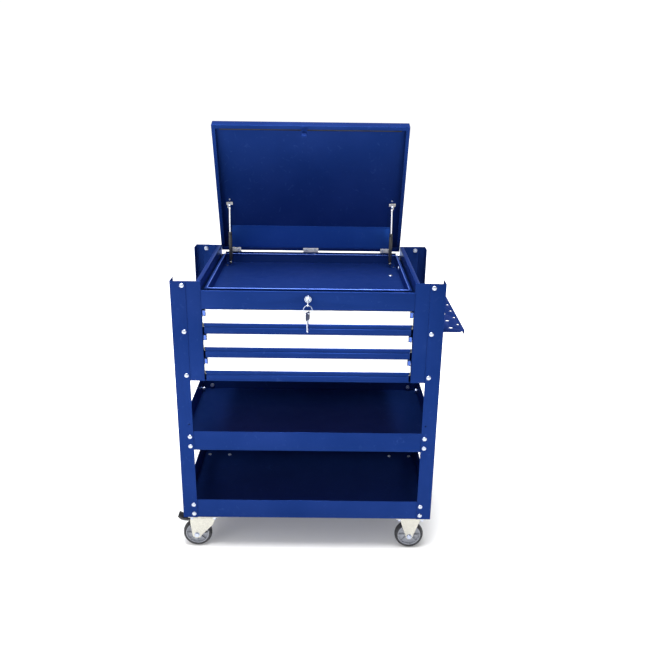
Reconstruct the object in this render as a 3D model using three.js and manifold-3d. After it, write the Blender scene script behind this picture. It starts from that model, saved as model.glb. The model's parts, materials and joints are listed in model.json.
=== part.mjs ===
// Rolling service cart: four folded legs, a case with three drawers, a lidded top tray,
// two open shelves, a perforated tool rack and four 84 mm casters.
// Millimetres, +X to the right, +Y to the back, +Z up.
// While building, X = 0 is the middle of the cart, Y = 0 the front plane of the legs
// and Z = 0 the floor. The finished group is then moved so that its origin is the middle
// of its footprint, on the floor.

import * as THREE from 'three';
import { mergeVertices } from 'three/addons/utils/BufferGeometryUtils.js';
import Module from 'manifold-3d';

const wasm = await Module();
wasm.setup();

// ---------------------------------------------------------------- driving dimensions
const gap = 0.3;                 // between pieces that touch
const sheet = 1.2;               // folded panels
const legSheet = 1.5;            // leg angles

const cartWidth = 700;           // outside the legs
const cartDepth = 410;           // outside the legs
const legBottom = 112;           // underside of the legs above the floor
const legTop = 808;
const legFlange = 40;
const legHole = 2;               // radius of the spare holes
const legHoleInset = 10;         // from the inner edge of the front flange
const spareHoleRise = 79;        // above the underside of the middle shelf
const sideHoleDrops = [18, 56];  // side-flange holes below the leg tops

const caseSetIn = 78;            // legs' outer faces to the inside of the side panels
const caseInnerWidth = cartWidth - 2 * caseSetIn;
const caseBottom = 534;
const sideStripWidth = 11;       // flat strip on top of each side panel
const sideFlangeWidth = 58;      // flange behind each leg

const lockPanelHeight = 49;
const lockPanelReturn = 8;
const rimDrop = 24.6;            // tray rim and lock panel below the leg tops
const trayDepth = 27;
const trayFrontGap = 20;         // from the front plane to the tray rim
const trayRimGap = 6;            // from the side panels to the tray rim
const trayRimWidth = 6;
const trayRearGap = 12;          // from the rear plane to the tray's rear wall
const trayRearRise = 6.3;        // rear wall above the rim

const shelfWall = 56.5;          // rails and walls of both shelves
const shelfHem = 8;              // height of the folded hem on their top edges
const middleShelfBottom = 327;

const drawerCount = 3;
const drawerTravel = 270;
const drawerSheet = 1;
const bandHeight = 29;           // painted, ribbed band of a drawer front
const bandInset = 5.6;           // band ends to the side panels
const pullLipInset = 2;
const pullInset = 10.6;
const slideSpace = 12.7;         // each side, for a ball-bearing slide
const slideHeight = 35;
const slideLength = 380;

const lidWidth = caseInnerWidth - 5;
const lidLength = 396;
const lidDepth = 29;
const lidRearDepth = 24;
const lidLip = 10;
const lidOpenAngle = 72;         // degrees from shut
const hingeRise = 2.8;           // pin above the rear wall of the tray
const knuckleRadius = 2.5;
const hingeLength = 34;
const middleHingeLength = 46;
const hingeSpan = caseInnerWidth - 88;   // between the middles of the outer hinges
const stiffenerLength = 54;
const stiffenerWidth = caseInnerWidth - 68;

const strutSpan = caseInnerWidth - 68;   // between the two struts
const strutBodyRadius = 5;
const strutRodRadius = 2.5;
const strutBodyLength = 92;

const lockDrop = 43.4;           // lock axis below the leg tops
const lockRadius = 9.5;
const plugRadius = 6;

const rackDrop = 136;            // rack shelf below the leg tops
const rackWidth = 62;
const rackInset = 22;            // rack ends to the front and rear planes
const rackLip = 12;
const rackHoleRadius = 5;
const rackHolePitch = 58;

const wheelRadius = 42;
const wheelWidth = 24;
const axleRadius = 4.5;
const casterSpan = cartWidth - 108;      // between caster middles, across the cart
const casterInset = 33;          // caster middles to the front and rear planes
const casterTrail = 22;
const casterPlateLength = 84;
const casterPlateWidth = 62;
const casterPlate = 3;

// ------------------------------------------------------------------- derived places
const halfCart = cartWidth / 2;
const halfCase = caseInnerWidth / 2;
const rim = legTop - rimDrop;
const lockPanelBottom = rim - lockPanelHeight;
const trayFloor = rim - trayDepth;
const trayHalf = halfCase - trayRimGap;
const trayRear = cartDepth - trayRearGap;
const hingeY = trayRear - 2.5;
const hingeZ = rim + trayRearRise + hingeRise;
const lidBack = -4;                          // lid's rear edge from the hinge pin
const lidTop = lidRearDepth - knuckleRadius; // lid's top face above the hinge pin
const strutX = strutSpan / 2;
const lockZ = legTop - lockDrop;
const drawerPitch = (lockPanelBottom - gap - (caseBottom + sheet + 0.8)) / drawerCount;
const bottomShelfBottom = legBottom;

// ------------------------------------------------------------------------ materials
const paint = { color: 0x16306f, roughness: 0.42, metalness: 0.1 };
const aluminium = { color: 0xeef0f2, roughness: 0.35, metalness: 0.9 };
const zinc = { color: 0xb9b7a8, roughness: 0.4, metalness: 0.85 };
const chrome = { color: 0xd8dade, roughness: 0.15, metalness: 1 };
const blackSteel = { color: 0x18191b, roughness: 0.45, metalness: 0.5 };
const keyCover = { color: 0x16254f, roughness: 0.5, metalness: 0 };
const rubber = { color: 0x3c3f43, roughness: 0.8, metalness: 0 };

// ---------------------------------------------------------------------- small tools
// A closed geometry becomes a solid once it holds nothing but merged positions.
function solid(geometry) {
  const bare = geometry.index ? geometry.toNonIndexed() : geometry.clone();
  bare.deleteAttribute('normal');
  bare.deleteAttribute('uv');
  const merged = mergeVertices(bare, 1e-4);
  return new wasm.Manifold(new wasm.Mesh({
    numProp: 3,
    vertProperties: new Float32Array(merged.attributes.position.array),
    triVerts: new Uint32Array(merged.index.array),
  }));
}

function geometryOf(manifold) {
  const mesh = manifold.getMesh();
  const geometry = new THREE.BufferGeometry();
  geometry.setAttribute('position', new THREE.BufferAttribute(mesh.vertProperties.slice(), 3));
  geometry.setIndex(new THREE.BufferAttribute(mesh.triVerts.slice(), 1));
  geometry.computeVertexNormals();
  return geometry;
}

// Extrudes an outline of [u, v] points, with optional round or outlined holes.
function plate(points, thickness, holes = [], steps = 8) {
  const shape = new THREE.Shape(points.map(([u, v]) => new THREE.Vector2(u, v)));
  for (const [u, v, radius] of holes) {
    const path = new THREE.Path();
    path.absarc(u, v, radius, 0, Math.PI * 2, true);
    shape.holes.push(path);
  }
  return new THREE.ExtrudeGeometry(shape, { depth: thickness, bevelEnabled: false, curveSegments: steps });
}

// Outline in X and Y, raised along Z.
function raised(points, z0, z1, holes, steps) {
  return plate(points, z1 - z0, holes, steps).translate(0, 0, z0);
}

// Outline in X and Z, run along Y.
function runY(points, y0, y1, holes, steps) {
  return plate(points, y1 - y0, holes, steps).rotateX(Math.PI / 2).translate(0, y1, 0);
}

// Outline in Y and Z, run along X.
function runX(points, x0, x1, holes, steps) {
  const turned = plate(points, x1 - x0, holes, steps).rotateX(Math.PI / 2).rotateZ(Math.PI / 2);
  return turned.translate(x0, 0, 0);
}

function block(x0, x1, y0, y1, z0, z1) {
  const box = new THREE.BoxGeometry(x1 - x0, y1 - y0, z1 - z0);
  return box.translate((x0 + x1) / 2, (y0 + y1) / 2, (z0 + z1) / 2);
}

function rodAlongX(radius, x0, x1, y, z, sides = 14) {
  const rod = new THREE.CylinderGeometry(radius, radius, x1 - x0, sides).rotateZ(Math.PI / 2);
  return rod.translate((x0 + x1) / 2, y, z);
}

function rodAlongY(radius, y0, y1, x, z, sides = 14) {
  const rod = new THREE.CylinderGeometry(radius, radius, y1 - y0, sides);
  return rod.translate(x, (y0 + y1) / 2, z);
}

function rodAlongZ(radius, z0, z1, x, y, sides = 14) {
  const rod = new THREE.CylinderGeometry(radius, radius, z1 - z0, sides).rotateX(Math.PI / 2);
  return rod.translate(x, y, (z0 + z1) / 2);
}

function join(...geometries) {
  return geometries.map(solid).reduce((sum, next) => sum.add(next));
}

function cut(body, ...tools) {
  const start = body instanceof wasm.Manifold ? body : solid(body);
  return tools.map(solid).reduce((rest, next) => rest.subtract(next), start);
}

const cart = new THREE.Group();

function add(name, shape, look, parent = cart) {
  const geometry = shape instanceof wasm.Manifold ? geometryOf(shape) : shape;
  const mesh = new THREE.Mesh(geometry, new THREE.MeshStandardMaterial(look));
  mesh.name = name;
  parent.add(mesh);
  return mesh;
}

// Turns an outline drawn for the right-hand side over to the left-hand side.
const mirrored = (points, side) => (side > 0 ? points : points.map(([x, y]) => [-x, y]).reverse());

// ----------------------------------------------------------------------------- legs
// A leg is an angle: one flange in the front or rear plane, one along the side.
function leg(side, atFront) {
  const x1 = halfCart;
  const x0 = halfCart - legFlange;
  const near = atFront ? 0 : cartDepth;
  const inward = atFront ? 1 : -1;
  const outline = [
    [x0, near], [x1, near], [x1, near + inward * legFlange],
    [x1 - legSheet, near + inward * legFlange],
    [x1 - legSheet, near + inward * legSheet], [x0, near + inward * legSheet],
  ];
  const ordered = atFront ? outline : [...outline].reverse();
  const blank = raised(mirrored(ordered, side), legBottom, legTop);
  const spareHole = rodAlongY(legHole, near - 5, near + 5, side * (x0 + legHoleInset),
    middleShelfBottom + spareHoleRise, 8);
  const sideHoles = sideHoleDrops.map((drop) =>
    rodAlongX(legHole, side * x1 - 5, side * x1 + 5, near + inward * 18, legTop - drop, 8));
  return cut(blank, spareHole, ...sideHoles);
}

for (const [word, side] of [['left', -1], ['right', 1]]) {
  add(`front_${word}_leg`, leg(side, true), paint);
  add(`rear_${word}_leg`, leg(side, false), paint);
}

// ----------------------------------------------------------------------------- case
// Each side panel is one sheet folded into a channel, with a flat strip on its top edge.
function sidePanel(side) {
  const front = legSheet + gap;
  const back = cartDepth - legSheet - gap;
  const x0 = halfCase;
  const x1 = halfCase + sideFlangeWidth;
  const channel = [
    [x0, front], [x1, front], [x1, front + sheet], [x0 + sheet, front + sheet],
    [x0 + sheet, back - sheet], [x1, back - sheet], [x1, back], [x0, back],
  ];
  const wall = raised(mirrored(channel, side), caseBottom, legTop);
  const stripEnds = [side * (x0 + 0.2), side * (x0 + sideStripWidth)].sort((a, b) => a - b);
  const strip = block(...stripEnds, front + 0.4, back - 0.4, legTop - sheet, legTop);
  return join(wall, strip);
}

add('side_panel_left', sidePanel(-1), paint);
add('side_panel_right', sidePanel(1), paint);

const panelHalf = halfCase - gap;
const backPanelFront = trayRear + 3.2;
add('back_panel', block(-panelHalf, panelHalf, backPanelFront, backPanelFront + sheet,
  caseBottom, rim - 2), paint);

function caseFloor() {
  const front = legSheet + gap + 4;
  const back = backPanelFront - gap;
  const turnedUp = 14;
  const z = caseBottom;
  const outline = [
    [front, z], [back, z], [back, z + turnedUp], [back - sheet, z + turnedUp],
    [back - sheet, z + sheet], [front, z + sheet],
  ];
  return runX(outline, -panelHalf, panelHalf);
}
add('case_floor', caseFloor(), paint);

// Apron in front of the tray: it carries the lock.
function lockPanel() {
  const top = rim;
  const bottom = lockPanelBottom;
  const deep = lockPanelReturn;
  const outline = [
    [0, bottom], [deep + 4, bottom], [deep + 4, bottom + sheet], [sheet, bottom + sheet],
    [sheet, top - sheet], [deep, top - sheet], [deep, top], [0, top],
  ];
  const lockHole = rodAlongY(lockRadius - 1.5 + gap, -1, 3, 0, lockZ, 20);
  return cut(runX(outline, -panelHalf, panelHalf), lockHole);
}
add('lock_panel', lockPanel(), paint);

// ------------------------------------------------------------------------- top tray
// A shallow pan with a flat rim; its rear wall is taller and carries the lid's hinges.
function topTray() {
  const wall = trayHalf - trayRimWidth;
  const front = trayFrontGap + trayRimWidth;
  const under = trayFloor - sheet;
  const outer = block(-wall, wall, front, trayRear, under, rim);
  const hollow = block(-wall + sheet, wall - sheet, front + sheet, trayRear - sheet, trayFloor, rim + 20);
  const rimPlate = block(-trayHalf, trayHalf, trayFrontGap, trayRear, rim - sheet, rim);
  const rearWall = block(-wall, wall, trayRear - sheet, trayRear, under, rim + trayRearRise);
  return cut(join(outer, rimPlate), hollow).add(solid(rearWall));
}
add('top_tray', topTray(), paint);

// -------------------------------------------------------------------------- shelves
// Open trays between the legs, with a folded hem along the top of every wall.
function shelf(bottom) {
  const x = halfCart - legSheet - gap;
  const front = legSheet + gap;
  const back = cartDepth - legSheet - gap;
  const top = bottom + shelfWall;
  const hem = 2 * sheet;
  const outer = block(-x, x, front, back, bottom, top);
  const inside = block(-x + sheet, x - sheet, front + sheet, back - sheet,
    bottom + sheet, top - shelfHem);
  const mouth = block(-x + hem, x - hem, front + hem, back - hem, bottom + 5, top + 5);
  return cut(outer, inside, mouth);
}
add('middle_shelf', shelf(middleShelfBottom), paint);
add('bottom_shelf', shelf(bottomShelfBottom), paint);

// ------------------------------------------------------------------------ tool rack
// A folded shelf on the right side, drilled with two staggered rows of tool holes.
function toolRack() {
  const x0 = halfCart + gap;
  const x1 = halfCart + rackWidth;
  const y0 = rackInset;
  const y1 = cartDepth - rackInset;
  const z = legTop - rackDrop;
  const corner = 16;
  const outline = [[x0, y0], [x1 - corner, y0], [x1, y0 + corner], [x1, y1 - corner],
    [x1 - corner, y1], [x0, y1]];
  const rows = [
    { x: x0 + rackWidth * 0.46, first: y0 + 34 },
    { x: x0 + rackWidth * 0.86, first: y0 + 61 },
  ];
  const holes = [];
  for (const row of rows) {
    for (let y = row.first; y < y1 - 22; y += rackHolePitch) {
      holes.push([row.x, y, rackHoleRadius]);
    }
  }
  const top = raised(outline, z - sheet, z, holes, 10);
  const backFlange = block(x0, x0 + sheet, y0, y1, z - sheet - 26, z - 0.2);
  const outerLip = block(x1 - sheet, x1, y0 + corner, y1 - corner, z - rackLip, z - 0.2);
  return join(top, backFlange, outerLip);
}
add('tool_rack', toolRack(), paint);

// ----------------------------------------------------------------------------- lock
const bezelFront = -3;
const barrelBack = 12;
const latheAlongY = (points, steps) =>
  new THREE.LatheGeometry(points.map(([r, y]) => new THREE.Vector2(r, y)), steps);

function lockBarrel() {
  const body = lockRadius - 1.5;
  const bore = plugRadius + gap;
  const profile = [[bore, bezelFront], [lockRadius, bezelFront], [lockRadius, -gap], [body, -gap],
    [body, barrelBack], [bore, barrelBack], [bore, bezelFront]];
  return latheAlongY(profile, 20).translate(0, 0, lockZ);
}
add('lock_barrel', solid(lockBarrel()), chrome);

// The plug has a slot for the key, and a square tail that carries the cam.
const camFront = barrelBack + gap;
const camBack = camFront + 2;
const camHalfWidth = 6;
function lockPlug() {
  const plug = rodAlongY(plugRadius, bezelFront + 0.4, barrelBack, 0, lockZ, 18);
  const tail = block(-2.5, 2.5, barrelBack - 1, camBack + 2, lockZ - 2.5, lockZ + 2.5);
  const slot = block(-1.3, 1.3, bezelFront - 1, bezelFront + 5, lockZ - 4.6, lockZ + 4.6);
  return cut(join(plug, tail), slot);
}
add('lock_plug', lockPlug(), chrome);

function lockCam() {
  const w = camHalfWidth;
  const outline = [[-w, w], [-w, -20], [-3, -23], [3, -23], [w, -20], [w, w]];
  const moved = outline.map(([x, z]) => [x, z + lockZ]);
  const window = block(-2.5 - gap, 2.5 + gap, camFront - 1, camBack + 1,
    lockZ - 2.5 - gap, lockZ + 2.5 + gap);
  return cut(runY(moved, camFront, camBack), window);
}
add('lock_cam', lockCam(), zinc);

// The key stands upright in the plug; its bow has a hole for the ring.
const keyThick = 2;
const keyHole = { y: -24, z: lockZ - 8, radius: 3 };
function key() {
  const bow = [[-9, -6], [-13, -12], [-22, -14], [-30, -11], [-33, -2], [-31, 8], [-24, 12],
    [-14, 11], [-9, 5], [-9, 4], [bezelFront + 3, 4], [bezelFront + 3, -4], [-9, -4]];
  const outline = bow.map(([y, z]) => [y, z + lockZ]).reverse();
  return runX(outline, -keyThick / 2, keyThick / 2, [[keyHole.y, keyHole.z, keyHole.radius]], 10);
}
add('key', solid(key()), chrome);

const ringRadius = 11;
const ringWire = 0.8;
const ringZ = keyHole.z - keyHole.radius + ringWire + 0.5 - ringRadius;
const ring = new THREE.TorusGeometry(ringRadius, ringWire, 6, 24).rotateX(Math.PI / 2);
add('key_ring', solid(ring.translate(0, keyHole.y, ringZ)), chrome);

// The spare key hangs turned a little out of the ring's tangent.
function spareKey() {
  const holeZ = -4;
  const outline = [[-9, -6], [-7, 0], [7, 0], [9, -6], [9, -20], [5, -26], [4, -28], [4, -52],
    [0, -56], [-4, -52], [-4, -28], [-5, -26], [-9, -20]].reverse();
  const flat = runX(outline, -1, 1, [[0, holeZ, 2.4]], 10);
  const top = ringZ - ringRadius - ringWire - holeZ + 2.4 - 0.3;
  return flat.rotateZ(THREE.MathUtils.degToRad(-30)).translate(0, keyHole.y, top);
}
add('spare_key', solid(spareKey()), keyCover);

// ------------------------------------------------------------------------------ lid
// The lid is modelled shut, about the hinge pin, and turned open as a group.
const lid = new THREE.Group();
lid.position.set(0, hingeY, hingeZ);
lid.rotation.x = THREE.MathUtils.degToRad(-lidOpenAngle);
cart.add(lid);

const lidHalf = lidWidth / 2;
const lidFront = lidBack - lidLength;
const lidUnder = lidTop - sheet;

function lidPan() {
  const bottom = lidTop - lidDepth;
  const rearBottom = lidTop - lidRearDepth;
  const outer = block(-lidHalf, lidHalf, lidFront, lidBack, bottom, lidTop);
  const inside = block(-lidHalf + sheet, lidHalf - sheet, lidFront + sheet, lidBack - sheet,
    bottom + sheet, lidUnder);
  const mouth = block(-lidHalf + lidLip, lidHalf - lidLip, lidFront + lidLip, lidBack - lidLip,
    bottom - 5, bottom + 5);
  const rearRelief = block(-lidHalf - 1, lidHalf + 1, lidBack - lidLip - 12, lidBack + 1,
    bottom - 5, rearBottom);
  const rearLip = block(-lidHalf + 0.4, lidHalf - 0.4, lidBack - lidLip, lidBack - 0.4,
    rearBottom, rearBottom + sheet);
  const shell = cut(outer, inside, mouth, rearRelief);
  return shell.add(solid(rearLip));
}
add('lid_pan', lidPan(), paint, lid);

// A slanted plate boxes in the hinge side of the lid.
function lidStiffener() {
  const low = lidTop - lidRearDepth + sheet + gap;
  const high = lidUnder - gap;
  const near = lidBack - lidLip + 1;
  const far = near - stiffenerLength;
  const slope = 2.6;
  const outline = [
    [near, low], [near, low + sheet], [near - 3, low + sheet], [far, high],
    [far - 10, high], [far - 10, high - sheet], [far - slope / 2, high - sheet], [near - 3 - slope, low],
  ];
  return runX(outline, -stiffenerWidth / 2, stiffenerWidth / 2);
}
add('lid_stiffener', solid(lidStiffener()), paint, lid);

// The catch is a strap that lies on the front lip and hangs behind the lock. Its tab
// comes to rest just below the cam's path, so the turned cam holds the lid shut.
function lidCatch() {
  const low = lidTop - lidDepth + sheet + gap;
  const high = low + sheet;
  const lipEdge = lidFront + lidLip;
  const belowCam = lockZ - camHalfWidth - 1.5 - hingeZ;
  const behindCam = camBack + 1.2 - hingeY;
  const tab = behindCam - 5;
  const outline = [
    [lipEdge - 7, low], [behindCam, low], [behindCam, belowCam], [tab, belowCam],
    [tab, belowCam - sheet], [behindCam + sheet, belowCam - sheet],
    [behindCam + sheet, high], [lipEdge - 7, high],
  ];
  return runX(outline.reverse(), -24, -11);
}
add('lid_catch', solid(lidCatch()), paint, lid);

// --------------------------------------------------------------------------- hinges
// Three butt hinges. The fixed leaf stands behind the tray's rear wall, the moving leaf
// lies on the lid's rear lip, and the pin is part of the fixed leaf.
function hingeLeaves(middle, length) {
  const x0 = middle - length / 2;
  const x1 = middle + length / 2;
  const first = x0 + length / 3;
  const second = x0 + 2 * length / 3;
  const knuckle = knuckleRadius - 0.2;
  const pinRadius = 1.2;
  const thick = 1.1;
  const behindWall = trayRear + gap - hingeY;
  const overWall = -hingeRise + gap;
  const ends = [[x0, first - gap], [second + gap, x1]];
  const fixed = join(
    block(x0, x1, behindWall, behindWall + thick, overWall - 15, overWall + thick),
    ...ends.map(([from, to]) => block(from, to, 0, behindWall + thick, overWall, overWall + thick)),
    ...ends.map(([from, to]) => rodAlongX(knuckle, from, to, 0, 0, 12)),
    rodAlongX(pinRadius, x0 + 1, x1 - 1, 0, 0, 10),
  );
  const onLip = lidTop - lidRearDepth - gap;
  const moving = join(
    rodAlongX(knuckle, first, second, 0, 0, 12),
    block(first, second, lidBack + gap, 0, onLip - thick, -1),
    block(x0, x1, lidBack - lidLip, lidBack + gap + 0.2, onLip - thick, onLip),
  );
  return { fixed, moving: cut(moving, rodAlongX(pinRadius + 0.1, x0, x1, 0, 0, 10)) };
}

const hinges = [
  ['left', -hingeSpan / 2, hingeLength],
  ['middle', 0, middleHingeLength],
  ['right', hingeSpan / 2, hingeLength],
];
for (const [word, middle, length] of hinges) {
  const { fixed, moving } = hingeLeaves(middle, length);
  const mesh = add(`hinge_${word}_fixed_leaf`, fixed, zinc);
  mesh.position.set(0, hingeY, hingeZ);
  add(`hinge_${word}_moving_leaf`, moving, zinc, lid);
}

// ---------------------------------------------------------------------- gas struts
// Each strut stands beside two brackets: one on the tray floor, one under the lid.
const strutFoot = { y: trayRear - 46, z: trayFloor + 11 };
const strutHeadLocal = { y: lidBack - 146, z: 6 };
const open = THREE.MathUtils.degToRad(lidOpenAngle);
const strutHead = {
  y: hingeY + strutHeadLocal.y * Math.cos(open) + strutHeadLocal.z * Math.sin(open),
  z: hingeZ - strutHeadLocal.y * Math.sin(open) + strutHeadLocal.z * Math.cos(open),
};
const strutLength = Math.hypot(strutHead.y - strutFoot.y, strutHead.z - strutFoot.z);
const strutLean = Math.atan2(-(strutHead.y - strutFoot.y), strutHead.z - strutFoot.z);

const studRadius = 2.2;

function strutCylinder() {
  const tube = join(
    rodAlongZ(strutBodyRadius, 6, strutBodyLength, 0, 0, 14),
    rodAlongX(4.6, -3, 3, 0, 0, 12),
    block(-2.8, 2.8, -3.4, 3.4, 1, 8),
  );
  const chamber = rodAlongZ(strutRodRadius + gap, 14, strutBodyLength + 1, 0, 0, 12);
  const eye = rodAlongX(studRadius + gap, -5, 5, 0, 0, 10);
  return cut(tube, chamber, eye);
}

// Open, the rod reaches from inside the cylinder to the stud under the lid.
function strutRod() {
  const inside = strutBodyLength - 16;
  const rod = join(
    rodAlongZ(strutRodRadius, inside, strutLength - 3, 0, 0, 12),
    rodAlongX(4.6, -2.6, 2.6, 0, strutLength, 12),
  );
  return cut(rod, rodAlongX(studRadius + gap, -5, 5, 0, strutLength, 10));
}

// Foot bracket: an angle on the tray floor with a stud through the cylinder's eye. Its
// upright is small enough for the cylinder to swing down over it.
function strutFootBracket(side) {
  const x = side * strutX;
  const beside = [x + side * 3.6, x + side * 4.8].sort((a, b) => a - b);
  const base = [x + side * 3.6, x + side * 18].sort((a, b) => a - b);
  const stud = [x - side * 3.4, x + side * 4].sort((a, b) => a - b);
  const z = trayFloor + gap;
  return join(
    block(...beside, strutFoot.y - 4, strutFoot.y + 4, z, strutFoot.z + 3.8),
    block(...base, strutFoot.y - 7, strutFoot.y + 7, z, z + 1.2),
    rodAlongX(studRadius, ...stud, strutFoot.y, strutFoot.z, 10),
  );
}

// Head bracket: a tee under the lid panel. Its stud stops short of the rod's eye, which
// leaves this end of the linkage open.
function strutHeadBracket(side) {
  const x = side * strutX;
  const beside = [x + side * 3.4, x + side * 4.6].sort((a, b) => a - b);
  const flange = [x - side * 8, x + side * 11].sort((a, b) => a - b);
  const { y, z } = strutHeadLocal;
  const top = lidUnder - gap;
  return join(
    block(...beside, y - 5, y + 5, z - 5, top),
    block(...flange, y - 4.5, y + 4.5, top - 1.2, top),
  );
}

for (const [word, side] of [['left', -1], ['right', 1]]) {
  const strut = new THREE.Group();
  strut.position.set(side * strutX, strutFoot.y, strutFoot.z);
  strut.rotation.x = strutLean;
  cart.add(strut);
  add(`strut_cylinder_${word}`, strutCylinder(), blackSteel, strut);
  add(`strut_rod_${word}`, strutRod(), chrome, strut);
  add(`strut_foot_${word}`, strutFootBracket(side), zinc);
  add(`strut_head_${word}`, strutHeadBracket(side), zinc, lid);
}

// -------------------------------------------------------------------------- drawers
// A drawer is a folded box with a ribbed band across its front; a bright pull strip
// fills the front above the band.
const bandFront = -3;
const boxHalf = halfCase - slideSpace - 0.8;
const drawerBack = slideLength + 6;
const ribDepth = 1.6;

function drawerBox(z0) {
  const bandHalf = halfCase - bandInset;
  const top = z0 + bandHeight;
  const front = bandFront;
  const back = 5;
  const ribs = [
    [back, z0], [back, top], [front + ribDepth, top], [front, top - 1.6], [front, top - 8],
    [front + ribDepth, top - 9.6], [front + ribDepth, top - 12], [front, top - 13.6],
    [front, z0 + 6], [front + ribDepth, z0 + 4.4], [front + ribDepth, z0],
  ];
  const band = runX(ribs, -bandHalf, bandHalf);
  const floor = z0 + 3;
  const wallTop = z0 + drawerPitch - 12;
  const shell = block(-boxHalf, boxHalf, back - 0.4, drawerBack, floor, wallTop);
  const hollow = block(-boxHalf + drawerSheet, boxHalf - drawerSheet, back + drawerSheet + 1,
    drawerBack - drawerSheet, floor + drawerSheet, wallTop + 5);
  return cut(join(band, shell), hollow);
}

// The pull is an extruded strip: a flat face, a finger lip below, and notched upper ends.
function pullStrip(z0) {
  const low = z0 + bandHeight + gap;
  const top = z0 + drawerPitch - 0.6;
  const profile = [
    [4.2, low], [4.2, top], [0.6, top], [0.6, low + 20], [-1.4, low + 17], [-1.4, low],
  ];
  const lipHalf = halfCase - pullLipInset;
  const half = halfCase - pullInset;
  const strip = runX(profile, -lipHalf, lipHalf);
  const notches = [-1, 1].map((side) => {
    const ends = [side * half, side * (lipHalf + 1)].sort((a, b) => a - b);
    return block(...ends, -5, 8, low + 18, top + 1);
  });
  return cut(strip, ...notches);
}

// Outer rail of a ball-bearing slide, fixed to a side panel; it opens to the drawer.
function outerSlide(side, z0) {
  const x0 = halfCase - gap;
  const x1 = halfCase - slideSpace + 0.2;
  const low = z0 + 16;
  const high = low + slideHeight;
  const turn = 5;
  const outline = [
    [x0, low], [x0, high], [x1, high], [x1, high - turn], [x1 + sheet, high - turn],
    [x1 + sheet, high - sheet], [x0 - sheet, high - sheet], [x0 - sheet, low + sheet],
    [x1 + sheet, low + sheet], [x1 + sheet, low + turn], [x1, low + turn], [x1, low],
  ];
  return runY(mirrored(outline, side), 8, 8 + slideLength);
}

const drawerBase = caseBottom + sheet + 0.8;
for (let k = 0; k < drawerCount; k += 1) {
  const z0 = drawerBase + (drawerCount - 1 - k) * drawerPitch;
  add(`drawer_${k + 1}_box`, drawerBox(z0), paint);
  add(`drawer_${k + 1}_pull`, pullStrip(z0), aluminium);
  add(`drawer_${k + 1}_slide_left`, solid(outerSlide(-1, z0)), zinc);
  add(`drawer_${k + 1}_slide_right`, solid(outerSlide(1, z0)), zinc);
}

// -------------------------------------------------------------------------- casters
const plateTop = legBottom - gap;
const plateUnder = plateTop - casterPlate;
const cheekInside = wheelWidth / 2 + 2;
const cheekSheet = 2.5;
const crownTop = plateUnder - 11;

// Tyre and hub are one moulding: a tread with rounded shoulders, a rim and a hub boss.
function wheel() {
  const half = wheelWidth / 2;
  const bore = axleRadius + 0.3;
  const r = wheelRadius;
  const side = [[r - 3.5, half], [r - 11, half - 1], [r - 12, half - 4], [14, half - 4],
    [11, half + 0.6], [bore, half + 0.6]];
  const back = [...side].reverse().map(([radius, y]) => [radius, -y]);
  const tread = [[r, -half + 4], [r, half - 4]];
  return latheAlongY([...side, ...back, ...tread, side[0]], 28);
}

function forkSides(outline) {
  return [
    runY(outline, cheekInside, cheekInside + cheekSheet),
    runY(outline, -cheekInside - cheekSheet, -cheekInside),
  ];
}

function axle(x) {
  const reach = cheekInside + cheekSheet;
  return rodAlongY(axleRadius, -reach - 3, reach + 3, x, wheelRadius, 14);
}

// Swivelling fork: a crown under the raceway, two tapering cheeks and the axle.
function swivelFork() {
  const x = -casterTrail;
  const outline = [
    [-36, crownTop - cheekSheet], [32, crownTop - cheekSheet], [24, crownTop - 22],
    [x + 13, wheelRadius - 2], [x + 8, wheelRadius - 10], [x - 5, wheelRadius - 12], [x - 13, wheelRadius - 5],
    [-40, crownTop - 16], [-40, crownTop - 6],
  ].reverse();
  const reach = cheekInside + cheekSheet;
  const crown = block(-36, 32, -reach, reach, crownTop - cheekSheet, crownTop);
  const raceway = new THREE.LatheGeometry([[0, 0], [24, 0], [24, 4], [19, 10.4], [0, 10.4]]
    .map(([r, z]) => new THREE.Vector2(r, z)), 20)
    .rotateX(Math.PI / 2).translate(0, 0, crownTop - 0.1);
  return join(crown, ...forkSides(outline), axle(x), raceway);
}

// The brake pedal rocks on a pin between the cheeks; its toe sticks out past the fork.
const pedalPin = { x: -32, z: crownTop - 8 };
function brakePedal() {
  const outline = [
    [6, -3], [6, 3], [-4, 4], [-16, 3.4], [-28, 5], [-38, 11], [-42, 12], [-44, 9],
    [-34, -1], [-22, -3.4], [0, -4.6],
  ].map(([x, z]) => [x + pedalPin.x, z + pedalPin.z]);
  const half = cheekInside - 1;
  const pad = runY(outline, -half, half);
  return join(pad, rodAlongY(3, -half, half, pedalPin.x, pedalPin.z, 10));
}

// Fixed fork: plate, cheeks and axle in one pressing.
function rigidFork() {
  const outline = [
    [-30, plateUnder + 0.5], [30, plateUnder + 0.5], [30, plateUnder - 8], [24, plateUnder - 26],
    [9, wheelRadius - 4], [5, wheelRadius - 9], [-5, wheelRadius - 9], [-9, wheelRadius - 4],
    [-24, plateUnder - 26], [-30, plateUnder - 8],
  ].reverse();
  const base = block(-casterPlateLength / 2, casterPlateLength / 2, -casterPlateWidth / 2,
    casterPlateWidth / 2, plateUnder, plateTop);
  return join(base, ...forkSides(outline), axle(0));
}

function swivelPlate() {
  return block(-casterPlateLength / 2, casterPlateLength / 2, -casterPlateWidth / 2,
    casterPlateWidth / 2, plateUnder, plateTop);
}

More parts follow.
